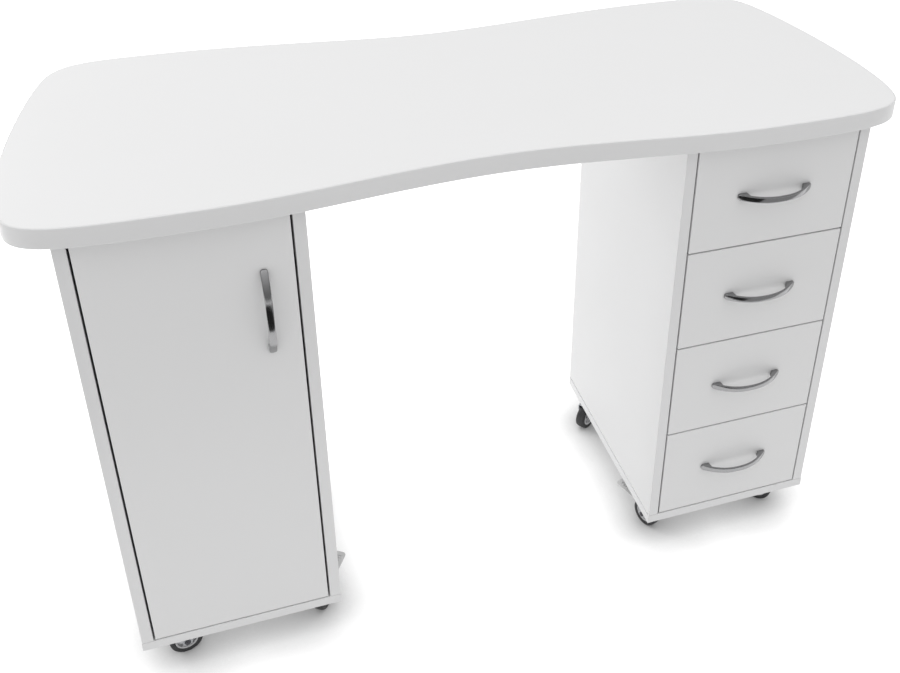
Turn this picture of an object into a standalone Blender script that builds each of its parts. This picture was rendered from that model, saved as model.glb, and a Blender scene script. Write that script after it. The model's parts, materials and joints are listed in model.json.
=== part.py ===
"""A manicure table: a waisted worktop on a door cabinet and a four-drawer cabinet, each on four castors.

Run with: blender --background --python part.py
Metres, +Z up. X runs along the table, the door and the drawers face -Y.
The origin is on the floor, under the middle of the whole table's box.
"""

from math import cos, hypot, pi, radians, sin

import bmesh
import bpy
from mathutils import Matrix, Vector

# ---------------------------------------------------------------- sizes
TABLE_HEIGHT = 0.800
GAP = 0.0003  # between pieces that touch

# worktop
TOP_LENGTH = 1.210
TOP_DEPTH = 0.460  # at its two widest places
WAIST_DEPTH = 0.400  # across the middle
TOP_THICKNESS = 0.028
BAND_THICKNESS = 0.002
BAND_RADIUS = 0.0016
FRONT_WIDE_X = 0.381  # where the front edge is widest
FRONT_CORNER_IN = (0.012, 0.0403)  # the front corner's inner end, from the end and from the edge
BACK_WIDE_X = 0.400
BACK_CORNER_IN = (0.054, 0.053)
CORNER_HEADING = 68.0  # degrees, of the edge at the corners' inner ends

# cabinets
BOARD = 0.016
BACK_BOARD = 0.003
CABINET_WIDTH = 0.290
CABINET_DEPTH = 0.381  # with the back board
CABINET_OUTER_X = 0.5475
FRONT_OVERHANG = 0.0195  # the worktop's widest front edge past the cabinets' fronts
BOTTOM_LIP = 0.001  # the bottom board past each side
RAIL_DEPTH = 0.080
RAIL_CLEARANCE = 0.0015  # behind the swing of the door's edge
SHELF_SETBACK = 0.030
BOARD_ROUND = 0.0008

# fronts
FRONT_BOARD = 0.016
DOOR_SIDE_GAP = 0.003
DOOR_END_GAP = 0.0025
DRAWER_COUNT = 4
DRAWER_SIDE_GAP = 0.0025
DRAWER_END_GAP = 0.0025

# drawers and runners
BOX_BOARD = 0.012
BOX_BOTTOM = 0.003
BOX_REAR_ROOM = 0.0317  # behind the box, to the cabinet's back
BOX_RISE = 0.026  # box bottom above the front's lower edge
BOX_HEADROOM = 0.039875  # box rim below the front's upper edge
RUNNER_ROOM = 0.0125  # between a cabinet side and the box
RUNNER_SHORTER = 0.030  # than the drawer box
RUNNER_WEB = 0.034
RUNNER_FLANGE = 0.0108
RUNNER_LIP = 0.004
RUNNER_STEEL = 0.0012
RUNNER_SETBACK = 0.018

# handles
HANDLE_RISE = 0.0257  # top of the bow above the board's face
HANDLE_WIDTH = 0.010
HANDLE_THICKNESS = 0.0034
HANDLE_TIP = 0.0025  # thickness of a foot at its end
HANDLE_FOOT = 0.015
HANDLE_BEND = 2.3  # 2 makes the bow a parabola, more makes it flatter in the middle
DRAWER_HANDLE_LENGTH = 0.118
DOOR_HANDLE_LENGTH = 0.130
DOOR_HANDLE_EDGE = 0.0385  # its centre line from the door's free edge
DOOR_HANDLE_TOP = 0.080  # its upper tip below the underside of the worktop

# door hinges
CUP_RADIUS = 0.0175
CUP_DEPTH = 0.012
CUP_EDGE = 0.005  # door material between the cup and the door's edge
CUP_WALL = 0.001
CUP_FLANGE = 0.003
PIVOT_FROM_EDGE = 0.012
PIVOT_FROM_FACE = 0.008
ARM_WIDTH = 0.012
ARM_STEEL = 0.0016
EYE_RADIUS = 0.002
ARM_PLATE_END = 0.080  # how far the arm runs back along the side
HINGE_FROM_END = 0.095  # hinge centre from the door's upper and lower edges

# castors
WHEEL_RADIUS = 0.025
WHEEL_WIDTH = 0.018
WHEEL_SHOULDER = 0.004
HUB_RECESS = 0.0012
WHEEL_FACETS = 24
AXLE_RADIUS = 0.003
AXLE_CLEARANCE = 0.0004
AXLE_END = 0.0015  # past each fork leg
FORK_STEEL = 0.002
FORK_CLEARANCE = 0.0012  # between a fork leg and the wheel
CROWN_RADIUS = 0.017
TRAIL = 0.024
WHEEL_HEADROOM = 0.0008  # between the wheel and the fork's crown
CROWN_HEIGHT = 0.0061
PLATE_ROOM = 0.0028  # above the crown, for the castor's top plate
CASTOR_INSET = 0.034  # swivel axis from the cabinet's sides and front
CASTOR_REAR_INSET = 0.047  # rear swivel axis from the cabinet's back
PEDAL_REACH = 0.092  # pedal tip from the swivel axis
PEDAL_STEEL = 0.0022
PEDAL_PIVOT = 0.031  # pedal pivot from the swivel axis

# heading of each castor's wheel from its swivel axis, in degrees from +X
CASTORS = (
    ("castor_1", "door", "front", "outer", 10.0, False),
    ("castor_2", "door", "front", "inner", 58.0, True),
    ("castor_3", "door", "rear", "outer", 25.0, False),
    ("castor_4", "door", "rear", "inner", 250.0, False),
    ("castor_5", "drawer", "front", "inner", 109.0, True),
    ("castor_6", "drawer", "front", "outer", 130.0, False),
    ("castor_7", "drawer", "rear", "inner", 215.0, False),
    ("castor_8", "drawer", "rear", "outer", 160.0, False),
)

# ---------------------------------------------------------------- places worked out from the sizes
HANDLE_PAST_TOP = HANDLE_RISE - FRONT_OVERHANG
TOP_Y = HANDLE_PAST_TOP / 2  # centres the whole table's box on the origin
UNDERSIDE = TABLE_HEIGHT - TOP_THICKNESS
FRONT_Y = TOP_Y - TOP_DEPTH / 2 + FRONT_OVERHANG
SIDE_BACK_Y = FRONT_Y + CABINET_DEPTH - BACK_BOARD
CROWN_LOW = 2 * WHEEL_RADIUS + WHEEL_HEADROOM
CROWN_TOP = CROWN_LOW + CROWN_HEIGHT
BOTTOM_Z = CROWN_TOP + GAP + PLATE_ROOM
FLOOR_Z = BOTTOM_Z + BOARD  # the cabinets' inner floor
INNER_WIDTH = CABINET_WIDTH - 2 * BOARD
DOOR_CENTRE_X = -CABINET_OUTER_X + CABINET_WIDTH / 2
DRAWER_CENTRE_X = CABINET_OUTER_X - CABINET_WIDTH / 2
OPENING = UNDERSIDE - FLOOR_Z
EDGE_SWING = hypot(PIVOT_FROM_EDGE, max(PIVOT_FROM_FACE, FRONT_BOARD - PIVOT_FROM_FACE))


def clear_scene():
    for old in list(bpy.data.objects):
        bpy.data.objects.remove(old, do_unlink=True)


def make_collection(name):
    made = bpy.data.collections.new(name)
    bpy.context.scene.collection.children.link(made)
    return made


clear_scene()
TABLE = make_collection("manicure_table")
HELPERS = make_collection("helpers")


# ---------------------------------------------------------------- materials
def principled(name, colour, roughness, metallic=0.0):
    made = bpy.data.materials.new(name)
    made.use_nodes = True
    shader = made.node_tree.nodes["Principled BSDF"]
    shader.inputs["Base Color"].default_value = (*colour, 1.0)
    shader.inputs["Roughness"].default_value = roughness
    shader.inputs["Metallic"].default_value = metallic
    return made


MELAMINE = principled("white_melamine", (0.84, 0.84, 0.84), 0.42)
BAND = principled("white_edge_band", (0.82, 0.82, 0.82), 0.32)
HARDBOARD = principled("white_hardboard", (0.80, 0.80, 0.79), 0.55)
CHROME = principled("satin_chrome", (0.62, 0.62, 0.63), 0.22, 1.0)
COATED_STEEL = principled("white_coated_steel", (0.78, 0.78, 0.77), 0.35)
NICKEL = principled("nickel_plated_steel", (0.66, 0.65, 0.63), 0.28, 1.0)
ZINC = principled("zinc_plated_steel", (0.60, 0.61, 0.62), 0.34, 1.0)
TYRE = principled("black_tyre", (0.025, 0.025, 0.027), 0.55)
PEDAL = principled("grey_plastic", (0.55, 0.55, 0.55), 0.45)


# ---------------------------------------------------------------- building blocks
def place(made, material, location=(0, 0, 0), parent=None, collection=None):
    """Names a new object's material and puts it at a world location, under its parent if it has one."""
    if not made.data.materials:
        made.data.materials.append(material)
    (collection or TABLE).objects.link(made)
    made.location = Vector(location)
    if parent is not None:
        made.parent = parent
        made.location = Vector(location) - parent.location
    return made


def joint_axis(name, location, heading=0.0):
    """An empty on a joint's axis, which the moving pieces hang from."""
    axis = bpy.data.objects.new(name, None)
    axis.empty_display_size = 0.03
    axis.location = location
    axis.rotation_euler = (0, 0, heading)
    TABLE.objects.link(axis)
    return axis


def box_mesh(name, size):
    mesh = bpy.data.meshes.new(name)
    bm = bmesh.new()
    bmesh.ops.create_cube(bm, size=1.0)
    bmesh.ops.scale(bm, vec=Vector(size), verts=bm.verts)
    bm.to_mesh(mesh)
    bm.free()
    return mesh


def round_edges(made, width, segments=2):
    bevel = made.modifiers.new("rounded_edges", "BEVEL")
    bevel.width = width
    bevel.segments = segments
    bevel.limit_method = "ANGLE"
    bevel.harden_normals = True
    return bevel


def board(name, low, high, material=None, parent=None, rounding=BOARD_ROUND):
    """A flat board between two corners, with lightly rounded edges."""
    low = Vector(low)
    high = Vector(high)
    made = bpy.data.objects.new(name, box_mesh(name, high - low))
    made.data.shade_smooth()
    place(made, material or MELAMINE, (low + high) / 2, parent)
    if rounding:
        round_edges(made, rounding)
    return made


def cutter(name, mesh, location, parent=None):
    """A shape that only cuts: never rendered, drawn as wire."""
    made = bpy.data.objects.new(name, mesh)
    place(made, MELAMINE, location, parent, HELPERS)
    made.hide_render = True
    made.display_type = "WIRE"
    return made


def boolean(made, other, operation):
    cut = made.modifiers.new(operation.lower() + "_" + other.name, "BOOLEAN")
    cut.operation = operation
    cut.solver = "EXACT"
    cut.object = other
    return cut


def cylinder_mesh(name, radius, length, segments=24, axis="Z"):
    mesh = bpy.data.meshes.new(name)
    bm = bmesh.new()
    bmesh.ops.create_cone(
        bm, cap_ends=True, segments=segments, radius1=radius, radius2=radius, depth=length
    )
    if axis == "Y":
        bmesh.ops.rotate(bm, verts=bm.verts, cent=(0, 0, 0), matrix=Matrix.Rotation(pi / 2, 3, "X"))
    bm.to_mesh(mesh)
    bm.free()
    return mesh


def poly_curve(name, outlines, cyclic=True):
    """A flat curve data block with one straight-sided spline for each list of points."""
    curve = bpy.data.curves.new(name, "CURVE")
    curve.dimensions = "2D"
    for points in outlines:
        spline = curve.splines.new("POLY")
        spline.points.add(len(points) - 1)
        for target, point in zip(spline.points, points):
            target.co = (point[0], point[1], 0, 1)
        spline.use_cyclic_u = cyclic
    return curve


def slab_curve(name, outline, thickness):
    """A filled flat outline, as thick as asked, about its own plane."""
    curve = poly_curve(name, [outline])
    curve.fill_mode = "BOTH"
    curve.extrude = thickness / 2
    return curve


def strip_object(name, path, width, thickness):
    """A bent metal strip: an open ribbon along the path, made solid to both sides."""
    curve = poly_curve(name, [path], cyclic=False)
    curve.extrude = width / 2
    made = bpy.data.objects.new(name, curve)
    weld = made.modifiers.new("weld", "WELD")
    weld.merge_threshold = 0.00005
    solid = made.modifiers.new("thickness", "SOLIDIFY")
    solid.thickness = thickness
    solid.offset = 0
    solid.use_even_offset = True
    return made


def turned_object(name, profile, segments, closed_loop=False):
    """A turned piece: (radius, height) points from the top down, about Z."""
    mesh = bpy.data.meshes.new(name)
    edges = [(i, i + 1) for i in range(len(profile) - 1)]
    if closed_loop:
        edges.append((len(profile) - 1, 0))
    mesh.from_pydata([(r, 0, z) for r, z in profile], edges, [])
    made = bpy.data.objects.new(name, mesh)
    screw = made.modifiers.new("turn", "SCREW")
    screw.angle = 2 * pi
    screw.steps = segments
    screw.render_steps = segments
    screw.use_merge_vertices = True
    screw.merge_threshold = 0.00002
    screw.use_smooth_shade = True
    return made


def finished_mesh(made, name):
    """The mesh of an object as its modifiers leave it. The object and its helpers are removed."""
    bpy.context.view_layer.update()
    graph = bpy.context.evaluated_depsgraph_get()
    mesh = bpy.data.meshes.new_from_object(made.evaluated_get(graph))
    mesh.name = name
    helpers = [m.object for m in made.modifiers if m.type == "BOOLEAN"]
    for old in [made, *helpers]:
        bpy.data.objects.remove(old, do_unlink=True)
    bm = bmesh.new()
    bm.from_mesh(mesh)
    bmesh.ops.remove_doubles(bm, verts=bm.verts, dist=0.00001)
    bm.to_mesh(mesh)
    bm.free()
    return mesh


def shade(mesh, angle=35.0):
    mesh.shade_smooth()
    mesh.set_sharp_from_angle(angle=radians(angle))


# ---------------------------------------------------------------- worktop
def bezier(start, leave, arrive, end, count):
    """Points along a cubic curve, without its last point."""
    points = []
    for i in range(count):
        t = i / count
        s = 1 - t
        points.append(
            start * s**3 + leave * (3 * s * s * t) + arrive * (3 * s * t * t) + end * t**3
        )
    return points


def half_edge(side, wide_x, corner_in, pulls):
    """Half of one long edge, from the waist out to the inner end of its corner. side is -1 or 1.

    The pulls are shares: two of the waist's run, one of the corner's run and one of its depth.
    """
    waist_pull, wide_pull, corner_pull, corner_turn = pulls
    waist = Vector((0, side * WAIST_DEPTH / 2))
    wide = Vector((wide_x, side * TOP_DEPTH / 2))
    corner = Vector((TOP_LENGTH / 2 - corner_in[0], side * (TOP_DEPTH / 2 - corner_in[1])))
    down = Vector((cos(radians(CORNER_HEADING)), -side * sin(radians(CORNER_HEADING))))
    along = Vector((1, 0))
    run = bezier(
        waist, waist + along * (waist_pull * wide_x), wide - along * (wide_pull * wide_x), wide, 10
    )
    turn_start = corner - down * (corner_turn * corner_in[1] / sin(radians(CORNER_HEADING)))
    run += bezier(wide, wide + along * (corner_pull * (corner.x - wide.x)), turn_start, corner, 11)
    return run, corner, down


def worktop_outline(inset=0.0):
    """The worktop's outline, anticlockwise, moved inwards by the inset."""
    front, front_corner, front_down = half_edge(
        -1, FRONT_WIDE_X, FRONT_CORNER_IN, (0.365, 0.341, 0.613, 0.975)
    )
    back, back_corner, back_down = half_edge(
        1, BACK_WIDE_X, BACK_CORNER_IN, (0.275, 0.3975, 0.63, 0.975)
    )
    span = back_corner.y - front_corner.y
    leave = front_corner + front_down * (0.218 * span)
    arrive = back_corner + back_down * (0.191 * span)
    end = bezier(front_corner, leave, arrive, back_corner, 14)
    right = front + end + [back_corner] + back[:0:-1] + [back[0]]
    stretch = TOP_LENGTH / 2 / max(p.x for p in right)
    right = [Vector((p.x * stretch, p.y)) for p in right]
    ring = right + [Vector((-p.x, p.y)) for p in right[-2:0:-1]]
    moved = []
    for i, point in enumerate(ring):
        along = (ring[(i + 1) % len(ring)] - ring[i - 1]).normalized()
        moved.append(point + Vector((-along.y, along.x)) * inset)
    return moved


def make_worktop():
    outline = worktop_outline(BAND_THICKNESS + GAP)
    core = bpy.data.objects.new("worktop", slab_curve("worktop", outline, TOP_THICKNESS))
    place(core, MELAMINE, (0, TOP_Y, TABLE_HEIGHT - TOP_THICKNESS / 2))

    # The band's section: its outer corners are rounded, its inner face is flat against the board.
    half = TOP_THICKNESS / 2
    section = [(BAND_THICKNESS / 2, half), (BAND_THICKNESS / 2, -half)]
    for centre_z, first in ((-half + BAND_RADIUS, 270), (half - BAND_RADIUS, 180)):
        for step in range(3):
            turn = radians(first - 45 * step)
            x = -BAND_THICKNESS / 2 + BAND_RADIUS + BAND_RADIUS * cos(turn)
            section.append((x, centre_z + BAND_RADIUS * sin(turn)))
    guide = bpy.data.objects.new("edge_band_section", poly_curve("edge_band_section", [section]))
    HELPERS.objects.link(guide)
    guide.hide_render = True
    guide.display_type = "WIRE"
    path = poly_curve("worktop_edge_band", [worktop_outline(BAND_THICKNESS / 2)])
    path.fill_mode = "NONE"
    path.bevel_mode = "OBJECT"
    path.bevel_object = guide
    band = bpy.data.objects.new("worktop_edge_band", path)
    place(band, BAND, (0, TOP_Y, TABLE_HEIGHT - TOP_THICKNESS / 2))


# ---------------------------------------------------------------- cabinets
def make_carcass(prefix, centre_x, outward):
    """Sides, bottom, back and two rails. outward is -1 where the table's end is on the left."""
    half = CABINET_WIDTH / 2
    top = UNDERSIDE - GAP
    for place_name, way in (("outer", outward), ("inner", -outward)):
        face = centre_x + way * half
        low_x, high_x = sorted((face, face - way * BOARD))
        board(f"{prefix}_{place_name}_side", (low_x, FRONT_Y, FLOOR_Z + GAP), (high_x, SIDE_BACK_Y, top))
    board(
        f"{prefix}_bottom",
        (centre_x - half - BOTTOM_LIP, FRONT_Y, BOTTOM_Z),
        (centre_x + half + BOTTOM_LIP, SIDE_BACK_Y, FLOOR_Z),
    )
    board(
        f"{prefix}_back",
        (centre_x - half + BOTTOM_LIP, SIDE_BACK_Y + GAP, BOTTOM_Z + BOTTOM_LIP),
        (centre_x + half - BOTTOM_LIP, SIDE_BACK_Y + BACK_BOARD, top),
        HARDBOARD,
        rounding=0.0003,
    )
    inner = INNER_WIDTH / 2 - GAP
    front_rail_y = FRONT_Y + PIVOT_FROM_FACE + EDGE_SWING + RAIL_CLEARANCE
    for place_name, start_y in (
        ("front", front_rail_y),
        ("rear", SIDE_BACK_Y - RAIL_DEPTH),
    ):
        board(
            f"{prefix}_{place_name}_rail",
            (centre_x - inner, start_y, top - BOARD),
            (centre_x + inner, start_y + RAIL_DEPTH, top),
        )


def make_shelf():
    inner = INNER_WIDTH / 2 - GAP
    middle = FLOOR_Z + (OPENING - BOARD) / 2
    board(
        "door_cabinet_shelf",
        (DOOR_CENTRE_X - inner, FRONT_Y + FRONT_BOARD + SHELF_SETBACK, middle - BOARD / 2),
        (DOOR_CENTRE_X + inner, SIDE_BACK_Y - GAP, middle + BOARD / 2),
    )


# ---------------------------------------------------------------- handles
def handle_outline(length):
    """The bow handle seen from its edge: a crescent whose ends are thickened into feet."""
    half = length / 2
    arch = HANDLE_RISE - HANDLE_TIP

    def outside(x):
        return HANDLE_TIP + arch * (1 - abs(x / half) ** HANDLE_BEND)

    def inside(x):
        slope = arch * HANDLE_BEND * abs(x / half) ** (HANDLE_BEND - 1) / half
        return outside(x) - HANDLE_THICKNESS * hypot(1, slope)

    foot_end = half - HANDLE_FOOT
    outline = [Vector((half * step / 12, -outside(half * step / 12))) for step in range(12, -13, -1)]
    outline += [Vector((-half, -GAP)), Vector((-foot_end - 0.001, -GAP))]
    outline += [Vector((foot_end * step / 9, -inside(foot_end * step / 9))) for step in range(-9, 10)]
    outline += [Vector((foot_end + 0.001, -GAP)), Vector((half, -GAP))]
    return outline


def handle_object(name, length):
    made = bpy.data.objects.new(name, slab_curve(name, handle_outline(length), HANDLE_WIDTH))
    weld = made.modifiers.new("weld", "WELD")
    weld.merge_threshold = 0.00005
    round_edges(made, 0.0009, 1)
    return made


# ---------------------------------------------------------------- door
DOOR_LOW = (-CABINET_OUTER_X + BOARD + DOOR_SIDE_GAP, FRONT_Y, FLOOR_Z + DOOR_END_GAP)
DOOR_HIGH = (
    -CABINET_OUTER_X + CABINET_WIDTH - BOARD - DOOR_SIDE_GAP,
    FRONT_Y + FRONT_BOARD,
    UNDERSIDE - DOOR_END_GAP,
)
DOOR_PIVOT = (DOOR_LOW[0] + PIVOT_FROM_EDGE, FRONT_Y + PIVOT_FROM_FACE)


def hinge_arm_path():
    """A rolled eye round the pivot, then a gooseneck out of the cup and back along the side."""
    pivot = Vector(DOOR_PIVOT)
    eye = []
    for step in range(10):
        turn = radians(-30 * step)
        eye.append(pivot + Vector((cos(turn), sin(turn))) * EYE_RADIUS)
    side_x = -CABINET_OUTER_X + BOARD + GAP + ARM_STEEL / 2
    back_face = FRONT_Y + FRONT_BOARD
    mouth_x = DOOR_LOW[0] + CUP_EDGE + 2 * CUP_RADIUS - 0.007
    inside = eye[-1] + Vector((0.012, 0))
    out = Vector((mouth_x, back_face + 0.003))
    crest = Vector((mouth_x - 0.009, back_face + 0.0115))
    landing = Vector((side_x + 0.006, back_face + 0.0125))
    flat = Vector((side_x, back_face + 0.022))
    neck = bezier(inside, inside + Vector((0.006, 0)), out - Vector((0, 0.006)), out, 5)
    neck += bezier(out, out + Vector((0, 0.005)), crest + Vector((0.005, 0)), crest, 4)
    neck += bezier(landing, landing - Vector((0.004, 0)), flat - Vector((0, 0.005)), flat, 4)
    return eye + neck + [flat, Vector((side_x, FRONT_Y + ARM_PLATE_END))]


def cup_profile():
    """The hinge cup from its flange's outer rim inwards and down, mouth upwards."""
    inner = CUP_RADIUS - CUP_WALL
    return [
        (0, -CUP_DEPTH + CUP_WALL),
        (inner, -CUP_DEPTH + CUP_WALL),
        (inner, GAP + CUP_WALL),
        (CUP_RADIUS + CUP_FLANGE, GAP + CUP_WALL),
        (CUP_RADIUS + CUP_FLANGE, GAP),
        (CUP_RADIUS, GAP),
        (CUP_RADIUS, -CUP_DEPTH),
        (0, -CUP_DEPTH),
    ]


def make_door():
    hinge_axis = joint_axis("door_hinge_axis", (*DOOR_PIVOT, 0))
    panel = board("door_panel", DOOR_LOW, DOOR_HIGH, parent=hinge_axis)
    cup_x = DOOR_LOW[0] + CUP_EDGE + CUP_RADIUS
    back_face = FRONT_Y + FRONT_BOARD
    pocket_depth = CUP_DEPTH + GAP
    over = 0.004
    pocket = cylinder_mesh("cup_pocket", CUP_RADIUS + GAP, pocket_depth + over, 24, "Y")
    cup_mesh = finished_mesh(temporary(turned_object("cup", cup_profile(), 24)), "hinge_cup")
    shade(cup_mesh)
    for level, cup_z in (
        ("upper", DOOR_HIGH[2] - HINGE_FROM_END),
        ("lower", DOOR_LOW[2] + HINGE_FROM_END),
    ):
        pocket_y = back_face + (over - pocket_depth) / 2
        hole = cutter(f"cup_pocket_{level}", pocket, (cup_x, pocket_y, cup_z), hinge_axis)
        boolean(panel, hole, "DIFFERENCE")
        cup = bpy.data.objects.new(f"door_hinge_cup_{level}", cup_mesh)
        place(cup, NICKEL, (cup_x, back_face, cup_z), hinge_axis)
        cup.rotation_euler = (-pi / 2, 0, 0)
        arm = strip_object(f"door_hinge_arm_{level}", hinge_arm_path(), ARM_WIDTH, ARM_STEEL)
        place(arm, NICKEL, (0, 0, cup_z))
    grip = handle_object("door_handle", DOOR_HANDLE_LENGTH)
    grip_x = DOOR_HIGH[0] - DOOR_HANDLE_EDGE
    grip_z = UNDERSIDE - DOOR_HANDLE_TOP - DOOR_HANDLE_LENGTH / 2
    place(grip, CHROME, (grip_x, FRONT_Y, grip_z), hinge_axis)
    grip.rotation_euler = (0, -pi / 2, 0)


def temporary(made):
    """Links an object only so that its modifiers can be read."""
    HELPERS.objects.link(made)
    return made


# ---------------------------------------------------------------- drawers
FRONT_HEIGHT = (OPENING - (DRAWER_COUNT + 1) * DRAWER_END_GAP) / DRAWER_COUNT
FRONT_WIDTH = INNER_WIDTH - 2 * DRAWER_SIDE_GAP
BOX_HEIGHT = FRONT_HEIGHT - BOX_RISE - BOX_HEADROOM
BOX_WIDTH = INNER_WIDTH - 2 * RUNNER_ROOM
BOX_FRONT_Y = FRONT_Y + FRONT_BOARD + GAP
BOX_LENGTH = SIDE_BACK_Y - BOX_REAR_ROOM - BOX_FRONT_Y
RUNNER_LENGTH = BOX_LENGTH - RUNNER_SHORTER


def drawer_bottom_z(number):
    """Lower edge of a drawer's front, counted from the top."""
    return UNDERSIDE - number * (FRONT_HEIGHT + DRAWER_END_GAP)


def tray_mesh():
    """An open box: a block with its inside taken out from above."""
    block = bpy.data.objects.new("tray", box_mesh("tray", (BOX_WIDTH, BOX_LENGTH, BOX_HEIGHT)))
    HELPERS.objects.link(block)
    over = 0.01
    inside = box_mesh(
        "tray_inside",
        (BOX_WIDTH - 2 * BOX_BOARD, BOX_LENGTH - 2 * BOX_BOARD, BOX_HEIGHT - BOX_BOTTOM + over),
    )
    hollow = cutter("tray_inside", inside, (0, 0, (BOX_BOTTOM + over) / 2))
    boolean(block, hollow, "DIFFERENCE")
    round_edges(block, 0.0006, 1)
    return finished_mesh(block, "drawer_box")


def runner_path(way):
    """The cabinet-side runner's section: web on the side, flange under the box, turned-up lip."""
    web_x = RUNNER_STEEL / 2 + GAP
    low = RUNNER_STEEL / 2
    return [
        Vector((way * web_x, RUNNER_WEB)),
        Vector((way * web_x, low)),
        Vector((way * RUNNER_FLANGE, low)),
        Vector((way * RUNNER_FLANGE, low + RUNNER_LIP)),
    ]


def make_drawers():
    tray = tray_mesh()
    for number in range(1, DRAWER_COUNT + 1):
        low_z = drawer_bottom_z(number)
        slide = joint_axis(f"drawer_{number}_slide", (DRAWER_CENTRE_X, FRONT_Y, low_z))
        board(
            f"drawer_{number}_front",
            (DRAWER_CENTRE_X - FRONT_WIDTH / 2, FRONT_Y, low_z),
            (DRAWER_CENTRE_X + FRONT_WIDTH / 2, FRONT_Y + FRONT_BOARD, low_z + FRONT_HEIGHT),
            parent=slide,
        )
        box = bpy.data.objects.new(f"drawer_{number}_box", tray)
        box_z = low_z + BOX_RISE + BOX_HEIGHT / 2
        place(box, MELAMINE, (DRAWER_CENTRE_X, BOX_FRONT_Y + BOX_LENGTH / 2, box_z), slide)
        grip = handle_object(f"drawer_{number}_handle", DRAWER_HANDLE_LENGTH)
        place(grip, CHROME, (DRAWER_CENTRE_X, FRONT_Y, low_z + FRONT_HEIGHT / 2), slide)
        runner_z = low_z + BOX_RISE - 0.004
        runner_y = FRONT_Y + RUNNER_SETBACK + RUNNER_LENGTH / 2
        for place_name, way in (("outer", -1), ("inner", 1)):
            name = f"runner_{number}_{place_name}"
            rail = strip_object(name, runner_path(way), RUNNER_LENGTH, RUNNER_STEEL)
            face_x = DRAWER_CENTRE_X - way * INNER_WIDTH / 2
            place(rail, COATED_STEEL, (face_x, runner_y, runner_z))
            rail.rotation_euler = (pi / 2, 0, 0)


# ---------------------------------------------------------------- castors
FORK_INSIDE = WHEEL_WIDTH + 2 * FORK_CLEARANCE
FORK_WIDTH = FORK_INSIDE + 2 * FORK_STEEL


def wheel_mesh():
    """A tyre and hub in one turned ring, its axle along Y, standing on one of its facets."""
    bore = AXLE_RADIUS + AXLE_CLEARANCE
    half = WHEEL_WIDTH / 2
    rim = WHEEL_RADIUS / cos(pi / WHEEL_FACETS)  # so that the facets' middles are at the radius
    shoulder = rim - WHEEL_SHOULDER
    profile = [
        (bore, half - HUB_RECESS),
        (shoulder - HUB_RECESS, half - HUB_RECESS),
        (shoulder, half),
        (rim, half - WHEEL_SHOULDER),
    ]
    profile += [(r, -z) for r, z in profile[::-1]]
    turned = temporary(turned_object("wheel", profile, WHEEL_FACETS, closed_loop=True))
    mesh = finished_mesh(turned, "castor_wheel")
    mesh.transform(Matrix.Rotation(pi / 2, 4, "X"))
    mesh.transform(Matrix.Rotation(pi / WHEEL_FACETS, 4, "Y"))
    shade(mesh)
    return mesh


def fork_side_outline():
    """The fork from its side: the crown, and legs that narrow down to the axle."""
    eye_radius = 0.0075
    axle = Vector((TRAIL, WHEEL_RADIUS))
    crown = [
        Vector((0.034, CROWN_TOP)),
        Vector((-CROWN_RADIUS, CROWN_TOP)),
        Vector((-CROWN_RADIUS, CROWN_LOW - 0.002)),
        Vector((-0.008, CROWN_LOW - 0.007)),
    ]
    eye = [
        axle + Vector((cos(radians(turn)), sin(radians(turn)))) * eye_radius
        for turn in range(205, 391, 37)
    ]
    return crown + eye + [Vector((0.036, CROWN_LOW - 0.008))]


def fork_mesh():
    """A bent-up fork with its axle across it and its round crown, as one solid."""
    side = bpy.data.objects.new("fork", slab_curve("fork", fork_side_outline(), FORK_WIDTH))
    mesh = finished_mesh(temporary(side), "fork_block")
    mesh.transform(Matrix.Rotation(pi / 2, 4, "X"))
    block = temporary(bpy.data.objects.new("fork_block", mesh))
    room = box_mesh("wheel_room", (0.1, FORK_INSIDE, CROWN_LOW))
    boolean(block, cutter("wheel_room", room, (0.02, 0, CROWN_LOW / 2)), "DIFFERENCE")
    crown = cylinder_mesh("crown", CROWN_RADIUS, CROWN_TOP - CROWN_LOW, 24)
    crown_at = (0, 0, (CROWN_TOP + CROWN_LOW) / 2)
    boolean(block, cutter("crown", crown, crown_at), "UNION")
    axle = cylinder_mesh("axle", AXLE_RADIUS, FORK_WIDTH + 2 * AXLE_END, 12, "Y")
    boolean(block, cutter("axle", axle, (TRAIL, 0, WHEEL_RADIUS)), "UNION")
    mesh = finished_mesh(block, "castor_fork")
    shade(mesh)
    return mesh


def pedal_mesh():
    """The brake pedal from above: two ears outside the fork and a plate behind the wheel."""
    ear_in = FORK_WIDTH / 2 + 0.0006
    ear_out = ear_in + 0.0022
    plate_start = TRAIL + WHEEL_RADIUS + 0.0015
    tip = PEDAL_REACH - PEDAL_PIVOT
    start = plate_start - PEDAL_PIVOT
    half = [
        Vector((-0.004, ear_out)),
        Vector((-0.004, ear_in)),
        Vector((start, ear_in)),
    ]
    outline = half + [Vector((p.x, -p.y)) for p in half[::-1]]
    outline += [Vector((tip - 0.004, -ear_out)), Vector((tip, -ear_out + 0.004))]
    outline += [Vector((tip, ear_out - 0.004)), Vector((tip - 0.004, ear_out))]
    plate = bpy.data.objects.new("pedal", slab_curve("pedal", outline, PEDAL_STEEL))
    mesh = finished_mesh(temporary(plate), "brake_pedal")
    shade(mesh)
    return mesh


def castor_place(cabinet, end, side):
    centre_x = DOOR_CENTRE_X if cabinet == "door" else DRAWER_CENTRE_X
    outward = -1 if cabinet == "door" else 1
    way = outward if side == "outer" else -outward
    x = centre_x + way * (CABINET_WIDTH / 2 - CASTOR_INSET)
    rear_y = FRONT_Y + CABINET_DEPTH - CASTOR_REAR_INSET
    y = FRONT_Y + CASTOR_INSET if end == "front" else rear_y
    return x, y


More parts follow.
